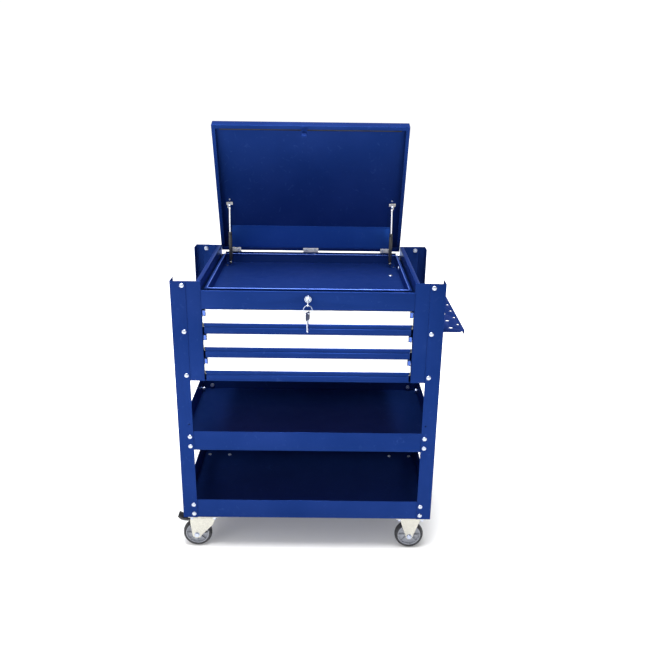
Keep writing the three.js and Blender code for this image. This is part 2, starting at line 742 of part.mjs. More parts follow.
for (const [end, y] of [['front', casterInset], ['rear', cartDepth - casterInset]]) {
  const swivel = new THREE.Group();
  swivel.position.set(-casterSpan / 2, y, 0);
  cart.add(swivel);
  add(`${end}_left_caster_plate`, swivelPlate(), zinc, swivel);
  add(`${end}_left_caster_fork`, swivelFork(), zinc, swivel);
  add(`${end}_left_brake_pedal`, brakePedal(), blackSteel, swivel);
  add(`${end}_left_wheel`, solid(wheel()), rubber, swivel)
    .position.set(-casterTrail, 0, wheelRadius);

  const fixed = new THREE.Group();
  fixed.position.set(casterSpan / 2, y, 0);
  cart.add(fixed);
  add(`${end}_right_caster_fork`, rigidFork(), zinc, fixed);
  add(`${end}_right_wheel`, solid(wheel()), rubber, fixed).position.set(0, 0, wheelRadius);
}

// ---------------------------------------------------------------------------- origin
cart.updateMatrixWorld(true);
const footprint = new THREE.Box3().setFromObject(cart, true);
const centre = footprint.getCenter(new THREE.Vector3());
cart.position.set(-centre.x, -centre.y, -footprint.min.z);
cart.updateMatrixWorld(true);

export default cart;
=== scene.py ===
"""Rolling service cart: blue folded steel, three drawers, a lidded tray and casters."""
import json
from math import cos, pi, radians, sin

import bmesh
import bpy
from mathutils import Matrix, Vector


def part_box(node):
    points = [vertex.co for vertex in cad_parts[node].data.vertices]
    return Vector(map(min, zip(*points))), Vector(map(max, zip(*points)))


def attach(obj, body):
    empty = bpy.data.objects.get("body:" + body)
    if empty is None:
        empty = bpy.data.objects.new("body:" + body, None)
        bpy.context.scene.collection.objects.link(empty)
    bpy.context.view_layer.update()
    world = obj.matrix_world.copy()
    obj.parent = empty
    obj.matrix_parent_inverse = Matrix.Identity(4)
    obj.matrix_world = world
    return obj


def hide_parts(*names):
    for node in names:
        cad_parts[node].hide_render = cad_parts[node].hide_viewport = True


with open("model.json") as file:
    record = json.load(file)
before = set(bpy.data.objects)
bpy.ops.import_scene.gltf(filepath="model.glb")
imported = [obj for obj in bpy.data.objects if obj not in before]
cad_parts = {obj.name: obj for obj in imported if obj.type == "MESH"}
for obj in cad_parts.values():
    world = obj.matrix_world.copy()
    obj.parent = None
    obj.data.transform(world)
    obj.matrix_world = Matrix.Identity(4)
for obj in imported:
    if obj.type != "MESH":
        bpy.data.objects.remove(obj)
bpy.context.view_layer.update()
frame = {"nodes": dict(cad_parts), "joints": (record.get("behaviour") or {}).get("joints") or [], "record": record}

# --------------------------------------------------------------------------- legs
# Four legs, each an angle folded from 1.5 mm steel and powder coated deep blue.
# Every other painted panel of the cart comes off the same line, so the paint and the
# way a folded panel gets its bend radii are worked out here.

def new_finish(name, **settings):
    """A Principled material; settings are its plain sockets."""
    material = bpy.data.materials.new(name)
    material.use_nodes = True
    shader = material.node_tree.nodes["Principled BSDF"]
    for socket, value in settings.items():
        shader.inputs[socket.replace("_", " ")].default_value = value
    return material, shader


def wire(tree, kind, links=(), **settings):
    """A node with its settings; links are (input, output socket) pairs."""
    made = tree.nodes.new(kind)
    for key, value in settings.items():
        if hasattr(made, key):
            setattr(made, key, value)
        else:
            made.inputs[key.replace("_", " ")].default_value = value
    for socket, source in links:
        tree.links.new(source, made.inputs[socket])
    return made


def ramp(tree, source, low, high, start=0.0, end=1.0):
    """Turns a 0 to 1 value into a colour or a grey level between low and high."""
    made = tree.nodes.new("ShaderNodeValToRGB")
    tree.links.new(source, made.inputs["Fac"])
    for stop, place, level in zip(made.color_ramp.elements, (start, end), (low, high)):
        stop.position = place
        stop.color = level if isinstance(level, tuple) else (level, level, level, 1)
    return made.outputs["Color"]


def add_bump(tree, shader, height, strength, distance):
    """Shades the surface as if a 0 to 1 height raised it by up to distance."""
    bump = wire(tree, "ShaderNodeBump", [("Height", height)], Strength=strength,
                Distance=distance)
    tree.links.new(bump.outputs["Normal"], shader.inputs["Normal"])


def powder_coat(name, deep, bright):
    """Metallic blue coat: orange peel, cloudy film, a trace of dust on flats, rub marks."""
    material, shader = new_finish(name, Metallic=0.5, Specular_IOR_Level=0.06,
                                  Specular_Tint=(0.04, 0.38, 1.0, 1))
    tree = material.node_tree
    at = tree.nodes.new("ShaderNodeTexCoord").outputs["Object"]
    surface = tree.nodes.new("ShaderNodeNewGeometry")
    clouds = wire(tree, "ShaderNodeTexNoise", [("Vector", at)], Scale=5.0, Detail=4.0)
    film = ramp(tree, clouds.outputs["Fac"], deep, bright, 0.3, 0.7)
    facing = wire(tree, "ShaderNodeSeparateXYZ", [("Vector", surface.outputs["Normal"])])
    grit = wire(tree, "ShaderNodeTexNoise", [("Vector", at)], Scale=90.0, Detail=8.0)
    specks = ramp(tree, grit.outputs["Fac"], 0.0, 0.03, 0.45, 0.8)
    dust = wire(tree, "ShaderNodeMath", [(0, facing.outputs["Z"]), (1, specks)],
                operation="MULTIPLY", use_clamp=True)
    dusted = wire(tree, "ShaderNodeMix", [("Factor", dust.outputs[0])], data_type="RGBA")
    tree.links.new(film, dusted.inputs["A"])
    dusted.inputs["B"].default_value = (0.07, 0.13, 0.36, 1)
    marks = wire(tree, "ShaderNodeTexNoise", [("Vector", at)], Scale=38.0, Detail=10.0,
                 Distortion=2.5)
    rubbed = ramp(tree, marks.outputs["Fac"], 0.0, 0.07, 0.62, 0.74)
    worn = wire(tree, "ShaderNodeMix", [("Factor", rubbed)], data_type="RGBA")
    tree.links.new(dusted.outputs["Result"], worn.inputs["A"])
    worn.inputs["B"].default_value = (0.10, 0.19, 0.55, 1)
    tree.links.new(worn.outputs["Result"], shader.inputs["Base Color"])
    smears = wire(tree, "ShaderNodeTexNoise", [("Vector", at)], Scale=14.0, Detail=6.0,
                  Distortion=1.2)
    tree.links.new(ramp(tree, smears.outputs["Fac"], 0.30, 0.40, 0.35, 0.7),
                   shader.inputs["Roughness"])
    peel = wire(tree, "ShaderNodeTexNoise", [("Vector", at)], Scale=420.0, Detail=2.0)
    add_bump(tree, shader, peel.outputs["Fac"], 0.16, 0.0004)
    return material


blue_paint = powder_coat("blue_powder_coat", (0.005, 0.019, 0.104, 1),
                         (0.009, 0.026, 0.130, 1))

body_of_node = {node: body
                for body, nodes in frame["record"]["behaviour"]["bodies"].items()
                for node in nodes}
sharp = radians(35)
cut_edge = 0.0022  # a face narrower than this is the cut edge of a sheet


def finished(node, finish, bend=0.0012, rim=0.0003, segments=3):
    """The CAD node's own shape with round folds of radius bend and eased sheet edges."""
    metal = bmesh.new()
    metal.from_mesh(frame["nodes"][node].data)
    bmesh.ops.remove_doubles(metal, verts=metal.verts, dist=2e-6)
    bmesh.ops.dissolve_limit(metal, angle_limit=radians(0.6), verts=metal.verts,
                             edges=metal.edges)
    weight = metal.edges.layers.float.new("bevel_weight_edge")
    for edge in metal.edges:
        if not edge.is_manifold or edge.calc_face_angle(0) < sharp:
            continue
        width = min(2 * face.calc_area() / face.calc_perimeter() for face in edge.link_faces)
        folded = width > cut_edge and edge.is_convex
        edge[weight] = 1.0 if folded else rim / bend
    for face in metal.faces:
        face.smooth = True
    data = bpy.data.meshes.new("finished_" + node)
    metal.to_mesh(data)
    metal.free()
    piece = bpy.data.objects.new("finished_" + node, data)
    bpy.context.scene.collection.objects.link(piece)
    data.materials.append(finish)
    rounding = piece.modifiers.new("bends", "BEVEL")
    rounding.limit_method = "WEIGHT"
    rounding.width = bend
    rounding.segments = segments
    rounding.harden_normals = True
    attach(piece, body_of_node[node])
    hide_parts(node)
    return piece


for end in ("front", "rear"):
    for side in ("left", "right"):
        finished(f"{end}_{side}_leg", blue_paint, bend=0.0016)

left, front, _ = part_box("front_left_leg")[0]
right, back, leg_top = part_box("rear_right_leg")[1]
middle = (left + right) / 2
leg_sheet = 0.0015
flange = 0.040

# --------------------------------------------------------------------------- case
# Two side panels, a back, a floor and the apron with the lock, all folded from 1.2 mm
# sheet. The tray drops in between the side panels with a flat rim round its mouth.
for panel in ("side_panel_left", "side_panel_right", "back_panel", "case_floor",
              "lock_panel", "top_tray"):
    finished(panel, blue_paint)

tray_low, tray_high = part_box("top_tray")
rim_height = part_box("lock_panel")[1].z
tray_wall = 0.0072
thin_sheet = 0.0012


def plain_piece(name, data, body, finish=None):
    """A finished mesh becomes a piece that rides on body."""
    piece = bpy.data.objects.new(name, data)
    bpy.context.scene.collection.objects.link(piece)
    if finish:
        data.materials.clear()
        data.materials.append(finish)
    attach(piece, body)
    return piece


def bent_wire(name, path, radius, body, finish, closed=False, sides=12):
    """A round bar along the points of path, with flat ends unless it is closed.

    Where a standing loop runs level its section turns a quarter, which narrows it there."""
    rings = []
    bar = bmesh.new()
    count = len(path)
    for k, centre in enumerate(path):
        before = path[k - 1] if closed or k else path[0]
        after = path[(k + 1) % count] if closed or k + 1 < count else path[-1]
        along = (Vector(after) - Vector(before)).normalized()
        climbing = abs(along.y) < 0.5 and abs(along.z) > 1e-6
        upright = Vector((0, 1, 0) if climbing else (0, 0, 1))
        across = along.cross(upright).normalized()
        over = across.cross(along)
        rings.append([bar.verts.new(Vector(centre) + (across * cos(a) + over * sin(a)) * radius)
                      for a in (2 * pi * j / sides for j in range(sides))])
    for k in range(count if closed else count - 1):
        near, far = rings[k], rings[(k + 1) % count]
        for j in range(sides):
            bar.faces.new((near[j], near[(j + 1) % sides], far[(j + 1) % sides], far[j]))
    if not closed:
        bar.faces.new(rings[0])
        bar.faces.new(rings[-1])
    bmesh.ops.recalc_face_normals(bar, faces=bar.faces)
    for face in bar.faces:
        face.smooth = len(face.verts) == 4
    data = bpy.data.meshes.new(name)
    bar.to_mesh(data)
    bar.free()
    return plain_piece(name, data, body, finish)


def rounded_loop(x0, x1, y0, y1, z, radius, steps=8):
    """A level rectangle with round corners, as points in order."""
    points = []
    for cx, cy, start in ((x1 - radius, y1 - radius, 0), (x0 + radius, y1 - radius, 1),
                          (x0 + radius, y0 + radius, 2), (x1 - radius, y0 + radius, 3)):
        for k in range(steps + 1):
            angle = pi / 2 * (start + k / steps)
            points.append((cx + radius * cos(angle), cy + radius * sin(angle), z))
    return points


# The tray's mouth has a rolled bead with round corners, close to the wall at the rear.
bead_radius, bead_inset, rear_inset, bead_corner = 0.0014, 0.0058, 0.0018, 0.010
mouth = rounded_loop(tray_low.x + bead_inset, tray_high.x - bead_inset,
                     tray_low.y + bead_inset, tray_high.y - rear_inset,
                     rim_height - 0.0004, bead_corner)
# A lighter copy of the blue coat is a painted highlight. It is used on the tray's rolled bead and on the drawers'
# ears.
painted_highlight_blue = powder_coat("painted_highlight_blue", (0.06, 0.12, 0.42, 1), (0.10, 0.17, 0.50, 1))
bent_wire("tray_rolled_bead", mouth, bead_radius, "cart", painted_highlight_blue,
          closed=True)

# ------------------------------------------------------------------------ shelves
# Both shelves are open trays folded from sheet steel in the cart's blue. All four walls
# have their top edge folded over into a hem, and bolts hold them to the four legs.
for shelf in ("middle_shelf", "bottom_shelf"):
    finished(shelf, blue_paint, bend=0.0011)

# ---------------------------------------------------------------------- tool rack
# A narrow folded shelf for hand tools, with two staggered rows of holes and an outer lip.
# It is sheet steel in the same blue, bolted to the outside of the right-hand legs.
finished("tool_rack", blue_paint, bend=0.0011)

# ------------------------------------------------------------------------- bolts
# M6 carriage bolts hold the legs to the case and to both shelves. Their bright zinc
# domes are outside; inside are a washer, a hexagon nut and the end of the thread.

def zinc_plate(name, pale, dull, rough=0.34, metallic=0.6):
    """Zinc plating: cloudy grains of two tints, small stains and a grain in the gloss."""
    material, shader = new_finish(name, Metallic=metallic, Specular_IOR_Level=0.5)
    tree = material.node_tree
    at = tree.nodes.new("ShaderNodeTexCoord").outputs["Object"]
    spangle = wire(tree, "ShaderNodeTexVoronoi", [("Vector", at)], Scale=260.0)
    clouds = wire(tree, "ShaderNodeTexNoise", [("Vector", at)], Scale=70.0, Detail=5.0)
    blend = wire(tree, "ShaderNodeMath", [(0, spangle.outputs["Distance"]),
                                          (1, clouds.outputs["Fac"])], operation="MULTIPLY")
    tree.links.new(ramp(tree, blend.outputs[0], dull, pale, 0.1, 0.45),
                   shader.inputs["Base Color"])
    tree.links.new(ramp(tree, clouds.outputs["Fac"], rough - 0.1, rough + 0.12, 0.3, 0.7),
                   shader.inputs["Roughness"])
    add_bump(tree, shader, clouds.outputs["Fac"], 0.1, 0.0002)
    return material


bright_zinc = zinc_plate("bright_zinc", (0.50, 0.54, 0.64, 1), (0.38, 0.42, 0.52, 1), 0.3, 0.9)


def new_tree(name, **sizes):
    """A Geometry Nodes tree with a size input for each of sizes and one for the finish."""
    tree = bpy.data.node_groups.new(name, "GeometryNodeTree")
    tree.interface.new_socket("Places", in_out="INPUT", socket_type="NodeSocketGeometry")
    for label, size in sizes.items():
        socket = tree.interface.new_socket(label, in_out="INPUT", socket_type="NodeSocketFloat")
        socket.default_value = size
    tree.interface.new_socket("Finish", in_out="INPUT", socket_type="NodeSocketMaterial")
    tree.interface.new_socket("Pieces", in_out="OUTPUT", socket_type="NodeSocketGeometry")
    return tree, tree.nodes.new("NodeGroupInput").outputs


def sums(tree, operation, first, second):
    """One Math node; first and second are sockets or plain numbers."""
    made = tree.nodes.new("ShaderNodeMath")
    made.operation = operation
    for socket, value in zip(made.inputs, (first, second)):
        if isinstance(value, (int, float)):
            socket.default_value = value
        else:
            tree.links.new(value, socket)
    return made.outputs[0]


def shaped(tree, mesh, x, y, z):
    """mesh with its points moved to x, y and z."""
    place = wire(tree, "ShaderNodeCombineXYZ")
    for socket, value in zip(place.inputs, (x, y, z)):
        tree.links.new(value, socket)
    return wire(tree, "GeometryNodeSetPosition",
                [("Geometry", mesh), ("Position", place.outputs[0])]).outputs["Geometry"]


def repeat(tree, given, shape, spun=False):
    """shape on every place, its Z along the place's facing, made real and finished.

    A spun shape also turns about its Z by the place's turn, and keeps flat faces."""
    facing = wire(tree, "GeometryNodeInputNamedAttribute", data_type="FLOAT_VECTOR",
                  Name="facing")
    aim = wire(tree, "FunctionNodeAlignRotationToVector",
               [("Vector", facing.outputs["Attribute"])], axis="Z")
    rotation = aim.outputs["Rotation"]
    if spun:
        turn = wire(tree, "GeometryNodeInputNamedAttribute", data_type="FLOAT", Name="turn")
        spin = wire(tree, "FunctionNodeAxisAngleToRotation",
                    [("Angle", turn.outputs["Attribute"])], Axis=(0.0, 0.0, 1.0))
        both = wire(tree, "FunctionNodeRotateRotation",
                    [("Rotation", rotation), ("Rotate By", spin.outputs["Rotation"])],
                    rotation_space="LOCAL")
        rotation = both.outputs["Rotation"]
    spread = wire(tree, "GeometryNodeInstanceOnPoints",
                  [("Points", given["Places"]), ("Instance", shape), ("Rotation", rotation)])
    real = wire(tree, "GeometryNodeRealizeInstances",
                [("Geometry", spread.outputs["Instances"])]).outputs[0]
    if not spun:
        real = wire(tree, "GeometryNodeSetShadeSmooth", [("Geometry", real)]).outputs[0]
    coated = wire(tree, "GeometryNodeSetMaterial",
                  [("Geometry", real), ("Material", given["Finish"])])
    out = tree.nodes.new("NodeGroupOutput")
    tree.links.new(coated.outputs["Geometry"], out.inputs["Pieces"])


def point_parts(tree):
    """The X, Y and Z of the point that a field is worked out at."""
    position = tree.nodes.new("GeometryNodeInputPosition").outputs["Position"]
    return wire(tree, "ShaderNodeSeparateXYZ", [("Vector", position)]).outputs


def domed_head_tree():
    """Mushroom head: the upper half of a ball, flattened, with a closed flat underside."""
    tree, given = new_tree("domed_heads", Radius=0.0063, Height=0.003)
    ball = wire(tree, "GeometryNodeMeshUVSphere", Segments=20, Rings=12, Radius=1.0)
    x, y, z = point_parts(tree)
    wide = sums(tree, "MULTIPLY", x, given["Radius"])
    deep = sums(tree, "MULTIPLY", y, given["Radius"])
    high = sums(tree, "MULTIPLY", sums(tree, "MAXIMUM", z, 0.0), given["Height"])
    repeat(tree, given, shaped(tree, ball.outputs["Mesh"], wide, deep, high))
    return tree


def hexagon_nut_tree():
    """Washer, chamfered hexagon nut and thread end, all from rings of 24 points."""
    tree, given = new_tree("hexagon_nuts", Flats=0.010, Height=0.005, Thread=0.003)
    x, y, z = point_parts(tree)
    angle = sums(tree, "ARCTAN2", y, x)
    sixth = pi / 3
    off_flat = sums(tree, "SUBTRACT", sums(tree, "FLOORED_MODULO", angle, sixth), sixth / 2)
    flat = sums(tree, "DIVIDE", given["Flats"], 2.0)
    hexagon = sums(tree, "DIVIDE", flat, sums(tree, "COSINE", off_flat, 0.0))
    near_end = sums(tree, "MULTIPLY", sums(tree, "ABSOLUTE", z, 0.0), 2.0)
    chamfer = sums(tree, "MULTIPLY", flat,
                   sums(tree, "SUBTRACT", 1.45, sums(tree, "MULTIPLY", near_end, 0.45)))
    reach = sums(tree, "MINIMUM", hexagon, chamfer)
    nut_middle = 0.74
    nut = wire(tree, "GeometryNodeMeshCylinder", fill_type="TRIANGLE_FAN", Vertices=24,
               Side_Segments=5, Radius=1.0, Depth=1.0)
    length = sums(tree, "SQRT", sums(tree, "ADD", sums(tree, "MULTIPLY", x, x),
                                     sums(tree, "MULTIPLY", y, y)), 0.0)
    rising = sums(tree, "MULTIPLY", sums(tree, "ADD", z, nut_middle), given["Height"])
    along = sums(tree, "MULTIPLY", reach, length)
    hexagonal = shaped(tree, nut.outputs["Mesh"],
                       sums(tree, "MULTIPLY", sums(tree, "COSINE", angle, 0.0), along),
                       sums(tree, "MULTIPLY", sums(tree, "SINE", angle, 0.0), along), rising)
    parts = [hexagonal]

    # Each disc has its radius as a share of half the flats, 0 for the thread's own radius,
    # and its two ends as shares of the nut's height.
    washer = (1.28, 0.0, 0.22)
    thread_end = (0.0, 1.2, 1.65)
    for share, low, high in (washer, thread_end):
        disc = wire(tree, "GeometryNodeMeshCylinder", fill_type="TRIANGLE_FAN", Vertices=24,
                    Radius=1.0, Depth=1.0)
        radius = sums(tree, "MULTIPLY", flat, share) if share else given["Thread"]
        tall = sums(tree, "MULTIPLY", sums(tree, "ADD", sums(tree, "MULTIPLY", z, high - low),
                                           (high + low) / 2), given["Height"])
        parts.append(shaped(tree, disc.outputs["Mesh"], sums(tree, "MULTIPLY", x, radius),
                            sums(tree, "MULTIPLY", y, radius), tall))
    joined = tree.nodes.new("GeometryNodeJoinGeometry")
    for part in parts:
        tree.links.new(part, joined.inputs[0])
    repeat(tree, given, joined.outputs[0])
    return tree


def set_out(tree, name, places, body, slot, finish, turns=(), **sizes):
    """Runs a tree over (point, facing) places and keeps the result as one plain mesh."""
    seats = bpy.data.meshes.new(name)
    seats.from_pydata([point for point, _ in places], [], [])
    facings = seats.attributes.new("facing", "FLOAT_VECTOR", "POINT")
    for item, (_, way) in zip(facings.data, places):
        item.vector = way
    turned_by = seats.attributes.new("turn", "FLOAT", "POINT")
    for item, angle in zip(turned_by.data, turns):
        item.value = angle
    holder = bpy.data.objects.new(name + "_seats", seats)
    bpy.context.scene.collection.objects.link(holder)
    modifier = holder.modifiers.new("tree", "NODES")
    modifier.node_group = tree
    sockets = {item.name: item.identifier for item in tree.interface.items_tree
               if item.in_out == "INPUT"}
    modifier[sockets["Finish"]] = finish
    for label, size in sizes.items():
        modifier[sockets[label]] = size
    result = holder.evaluated_get(bpy.context.evaluated_depsgraph_get())
    data = bpy.data.meshes.new_from_object(result)
    data.name = name
    bpy.data.objects.remove(holder)
    shape = bmesh.new()
    shape.from_mesh(data)
    for edge in shape.edges:
        edge.smooth = edge.calc_face_angle(0) < sharp
    shape.to_mesh(data)
    shape.free()
    return plain_piece(name, data, body)


domed_heads = domed_head_tree()
hexagon_nuts = hexagon_nut_tree()

case_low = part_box("case_floor")[0].z
shelf_lows = [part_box(shelf)[0].z for shelf in ("middle_shelf", "bottom_shelf")]
shelf_bolt_rise, upper_bolt_rise = 0.012, 0.041
bolt_heights = [leg_top - 0.0115, leg_top - 0.136, case_low + 0.0155]
for low in shelf_lows:
    bolt_heights += [low + upper_bolt_rise, low + shelf_bolt_rise]
bolt_inset = flange - 0.0095
side_bolt_inset = 0.029
corner_inset = 0.018
sheet_gap = 0.0003
inner_sheet = leg_sheet + sheet_gap + thin_sheet

heads, nuts = [], []
for x in (left + bolt_inset, right - bolt_inset):
    for face, outward in ((front, Vector((0, -1, 0))), (back, Vector((0, 1, 0)))):
        for z in bolt_heights:
            heads.append(((x, face, z), outward))
            nuts.append((Vector((x, face, z)) - outward * inner_sheet, -outward))
for face, outward in ((left, Vector((-1, 0, 0))), (right, Vector((1, 0, 0)))):
    for y in (front + side_bolt_inset, back - side_bolt_inset):
        for low in shelf_lows:
            spot = Vector((face, y, low + shelf_bolt_rise))
            heads.append((spot, outward))
            nuts.append((spot - outward * inner_sheet, -outward))
    spot = Vector((face, front + corner_inset, leg_top - corner_inset))
    heads.append((spot, outward))
    nuts.append((spot - outward * leg_sheet, -outward))
rack_low, rack_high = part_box("tool_rack")
rack_bolt_inset, rack_bolt_rise = 0.009, 0.011
for y in (rack_low.y + rack_bolt_inset, rack_high.y - rack_bolt_inset):
    spot = Vector((rack_low.x + thin_sheet, y, rack_low.z + rack_bolt_rise))
    heads.append((spot, Vector((1, 0, 0))))
    nuts.append((spot - Vector((inner_sheet, 0, 0)), Vector((-1, 0, 0))))

# Two more heads show inside the tray, one in its floor and one in its right-hand wall.
tray_floor = tray_low.z + thin_sheet
floor_bolt = (middle + 0.233, front + 0.261, tray_floor)
wall_bolt = (tray_high.x - tray_wall, front + 0.295, tray_floor + 0.014)
heads.append((floor_bolt, Vector((0, 0, 1))))
heads.append((wall_bolt, Vector((-1, 0, 0))))
set_out(domed_heads, "leg_bolt_heads", heads, "cart", "zinc_plate", bright_zinc)
set_out(hexagon_nuts, "leg_bolt_nuts", nuts, "cart", "zinc_plate", bright_zinc)

# ------------------------------------------------------------------------ drawers
# Each drawer is a folded box whose front edge is a ribbed, painted band. Above the band
# an extruded, anodised strip makes the pull. The boxes run on ball-bearing slides: a
# channel on the case, a narrower one on the drawer, and two rows of balls between them.

def satin_aluminium():
    """Bright anodised extrusion with fine lines drawn along its length."""
    material, shader = new_finish("satin_aluminium", Metallic=0.55, Specular_IOR_Level=0.6)
    tree = material.node_tree
    at = tree.nodes.new("ShaderNodeTexCoord").outputs["Object"]
    long_grain = wire(tree, "ShaderNodeMapping", [("Vector", at)], Scale=(3, 900, 900))
    lines = wire(tree, "ShaderNodeTexNoise", [("Vector", long_grain.outputs[0])], Scale=1.0,
                 Detail=3.0)
    tree.links.new(ramp(tree, lines.outputs["Fac"], (0.90, 0.91, 0.93, 1),
                        (0.98, 0.98, 0.985, 1), 0.3, 0.7), shader.inputs["Base Color"])
    tree.links.new(ramp(tree, lines.outputs["Fac"], 0.26, 0.42, 0.3, 0.7),
                   shader.inputs["Roughness"])
    add_bump(tree, shader, lines.outputs["Fac"], 0.12, 0.0001)
    return material


def ball_tree():
    """Steel balls of one size."""
    tree, given = new_tree("slide_balls", Radius=0.0022)
    ball = wire(tree, "GeometryNodeMeshUVSphere", [("Radius", given["Radius"])],
                Segments=12, Rings=8)
    repeat(tree, given, ball.outputs["Mesh"])
    return tree


def ease_edges(piece, radius, segments=2):
    """Rounds the sharp edges of a piece."""
    rounding = piece.modifiers.new("eased", "BEVEL")
    rounding.limit_method = "ANGLE"
    rounding.angle_limit = sharp
    rounding.width = radius
    rounding.segments = segments
    rounding.harden_normals = True


def run_along_y(name, outline, y0, y1, body, finish, ease=0.0002):
    """A closed outline in X and Z, extruded from y0 to y1, with eased edges."""
    shape = bmesh.new()
    ends = [[shape.verts.new((x, y, z)) for x, z in outline] for y in (y0, y1)]
    for k in range(len(outline)):
        after = (k + 1) % len(outline)
        shape.faces.new((ends[0][k], ends[0][after], ends[1][after], ends[1][k]))
    for end in ends:
        shape.faces.new(end)
    bmesh.ops.recalc_face_normals(shape, faces=shape.faces)
    for face in shape.faces:
        face.smooth = True
    data = bpy.data.meshes.new(name)
    shape.to_mesh(data)
    shape.free()
    piece = plain_piece(name, data, body, finish)
    ease_edges(piece, ease)
    return piece


drawer_aluminium = satin_aluminium()
slide_zinc = zinc_plate("slide_zinc", (0.72, 0.73, 0.72, 1), (0.50, 0.51, 0.52, 1), 0.3)
slide_balls = ball_tree()
ball_radius, ball_count, ball_pitch = 0.0022, 18, 0.0062
rail_sheet, rail_inset, slide_sheet, slide_gap = 0.0010, 0.0062, 0.0012, 0.0003
ball_row = slide_sheet + ball_radius + slide_gap
for number in (1, 2, 3):
    body = f"drawer_{number}"
    finished(f"{body}_box", blue_paint, bend=0.0008)
    finished(f"{body}_pull", drawer_aluminium, bend=0.0006)
    pull_low, pull_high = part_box(f"{body}_pull")
    balls = []
    for side, outward in (("left", -1), ("right", 1)):
        slide = f"{body}_slide_{side}"
        edge = pull_high.x if outward > 0 else pull_low.x
        tip, root = edge - outward * 0.0004, edge - outward * 0.0074
        ear_low, ear_high = pull_high.z - 0.0165, pull_high.z - 0.0035
        ear = [(tip, ear_low), (tip, ear_high), (root, ear_high), (root, ear_low)]
        # The ears take the lighter blue, a painted highlight on these small lit tabs.
        run_along_y(f"{body}_ear_{side}", ear, pull_low.y + 0.0004, pull_low.y + 0.0050, body,
                    painted_highlight_blue, ease=0.0012)
        finished(slide, slide_zinc, bend=0.0006)
        low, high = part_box(slide)
        mouth = high.x if outward < 0 else low.x
        web = mouth - outward * 0.0009
        tip = mouth + outward * 0.0085
        z0, z1 = low.z + rail_inset, high.z - rail_inset
        outline = [(web, z0), (tip, z0), (tip, z0 + rail_sheet),
                   (web + outward * rail_sheet, z0 + rail_sheet),
                   (web + outward * rail_sheet, z1 - rail_sheet), (tip, z1 - rail_sheet),
                   (tip, z1), (web, z1)]
        run_along_y(f"{slide}_inner_rail", outline, low.y + 0.001, high.y - 0.012, body,
                    slide_zinc)
        ball_x, first_ball = mouth + outward * 0.0060, low.y + 0.012
        for z in (low.z + ball_row, high.z - ball_row):
            for step in range(ball_count):
                balls.append(((ball_x, first_ball + step * ball_pitch, z), Vector((0, 0, 1))))
    set_out(slide_balls, f"{body}_slide_balls", balls, "cart", "zinc_plate", bright_zinc,
            Radius=ball_radius)

# ---------------------------------------------------------------------------- lid
# The lid is a folded pan with a return lip; a slanted plate boxes in its hinge side. It
# stands open on its hinge pin. A push-on rubber edging sits on the front lip in two
# lengths, one on each side of the catch.
finished("lid_pan", blue_paint)
finished("lid_catch", blue_paint)
# The stiffener gets a brighter copy of the blue coat. This is painted light, for the slanted plate catching more
# light than the lid's inside.
finished("lid_stiffener", powder_coat("stiffener_coat_painted_light", (0.010, 0.045, 0.23, 1),
                                      (0.014, 0.055, 0.27, 1)))

lid_joint = next(joint for joint in frame["joints"] if joint["name"] == "lid_hinge")
# Places on the lid are given with it shut, from the hinge pin, and then turned open.
hinge_pin = Vector(lid_joint["pos_m"])
opened = Matrix.Translation((0, hinge_pin.y, hinge_pin.z)) @ Matrix.Rotation(
    -radians(lid_joint["range_deg"][1]), 4, "X")
lid_way = opened.to_3x3()
lid_half = (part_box("lid_pan")[1].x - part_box("lid_pan")[0].x) / 2


def black_rubber(name, tone=0.012):
    """Dull black rubber with a faint grain and a dusty bloom."""
    material, shader = new_finish(name, Specular_IOR_Level=0.35)
    tree = material.node_tree
    at = tree.nodes.new("ShaderNodeTexCoord").outputs["Object"]
    bloom = wire(tree, "ShaderNodeTexNoise", [("Vector", at)], Scale=45.0, Detail=6.0)
    tree.links.new(ramp(tree, bloom.outputs["Fac"], (tone, tone, tone * 1.1, 1),
                        (tone * 2.2, tone * 2.2, tone * 2.4, 1), 0.35, 0.75),
                   shader.inputs["Base Color"])
    tree.links.new(ramp(tree, bloom.outputs["Fac"], 0.62, 0.85), shader.inputs["Roughness"])
    grain = wire(tree, "ShaderNodeTexNoise", [("Vector", at)], Scale=1600.0)
    add_bump(tree, shader, grain.outputs["Fac"], 0.2, 0.0002)
    return material


edging_rubber = black_rubber("edging_rubber", 0.006)
edging_y, edging_z, edging_radius = -0.3882, -0.0062, 0.0020
corner_gap, catch_gap = 0.022, 0.002
catch_left, catch_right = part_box("lid_catch")[0].x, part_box("lid_catch")[1].x
for word, x0, x1 in (("left", middle - lid_half + corner_gap, catch_left - catch_gap),
                     ("right", catch_right + catch_gap, middle + lid_half - corner_gap)):
    ends = [opened @ Vector((x, edging_y, edging_z)) for x in (x0, x1)]
    bent_wire(f"lid_edging_{word}", ends, edging_radius, "lid", edging_rubber)

# ------------------------------------------------------------------------- hinges
# Three butt hinges of zinc-plated sheet, rolled round a pin. Each is held by two rivets
# through the tray's rear wall and two through the lid's rear lip.
rivets_on_tray, rivets_on_lid = [], []
hinge_zinc = zinc_plate("hinge_zinc", (0.80, 0.78, 0.70, 1), (0.66, 0.65, 0.60, 1), 0.4, 0.2)
for word in ("left", "middle", "right"):
    for leaf in ("fixed", "moving"):
        finished(f"hinge_{word}_{leaf}_leaf", hinge_zinc, bend=0.0004, rim=0.0002)
    low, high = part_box(f"hinge_{word}_fixed_leaf")
    centre, reach = (low.x + high.x) / 2, (high.x - low.x) * 0.27
    for x in (centre - reach, centre + reach):
        rivets_on_tray.append(((x, tray_high.y - thin_sheet, tray_high.z - 0.0067),
                               Vector((0, -1, 0))))
        rivets_on_lid.append((opened @ Vector((x, -0.0092, -0.0039)),
                              lid_way @ Vector((0, 0, -1))))
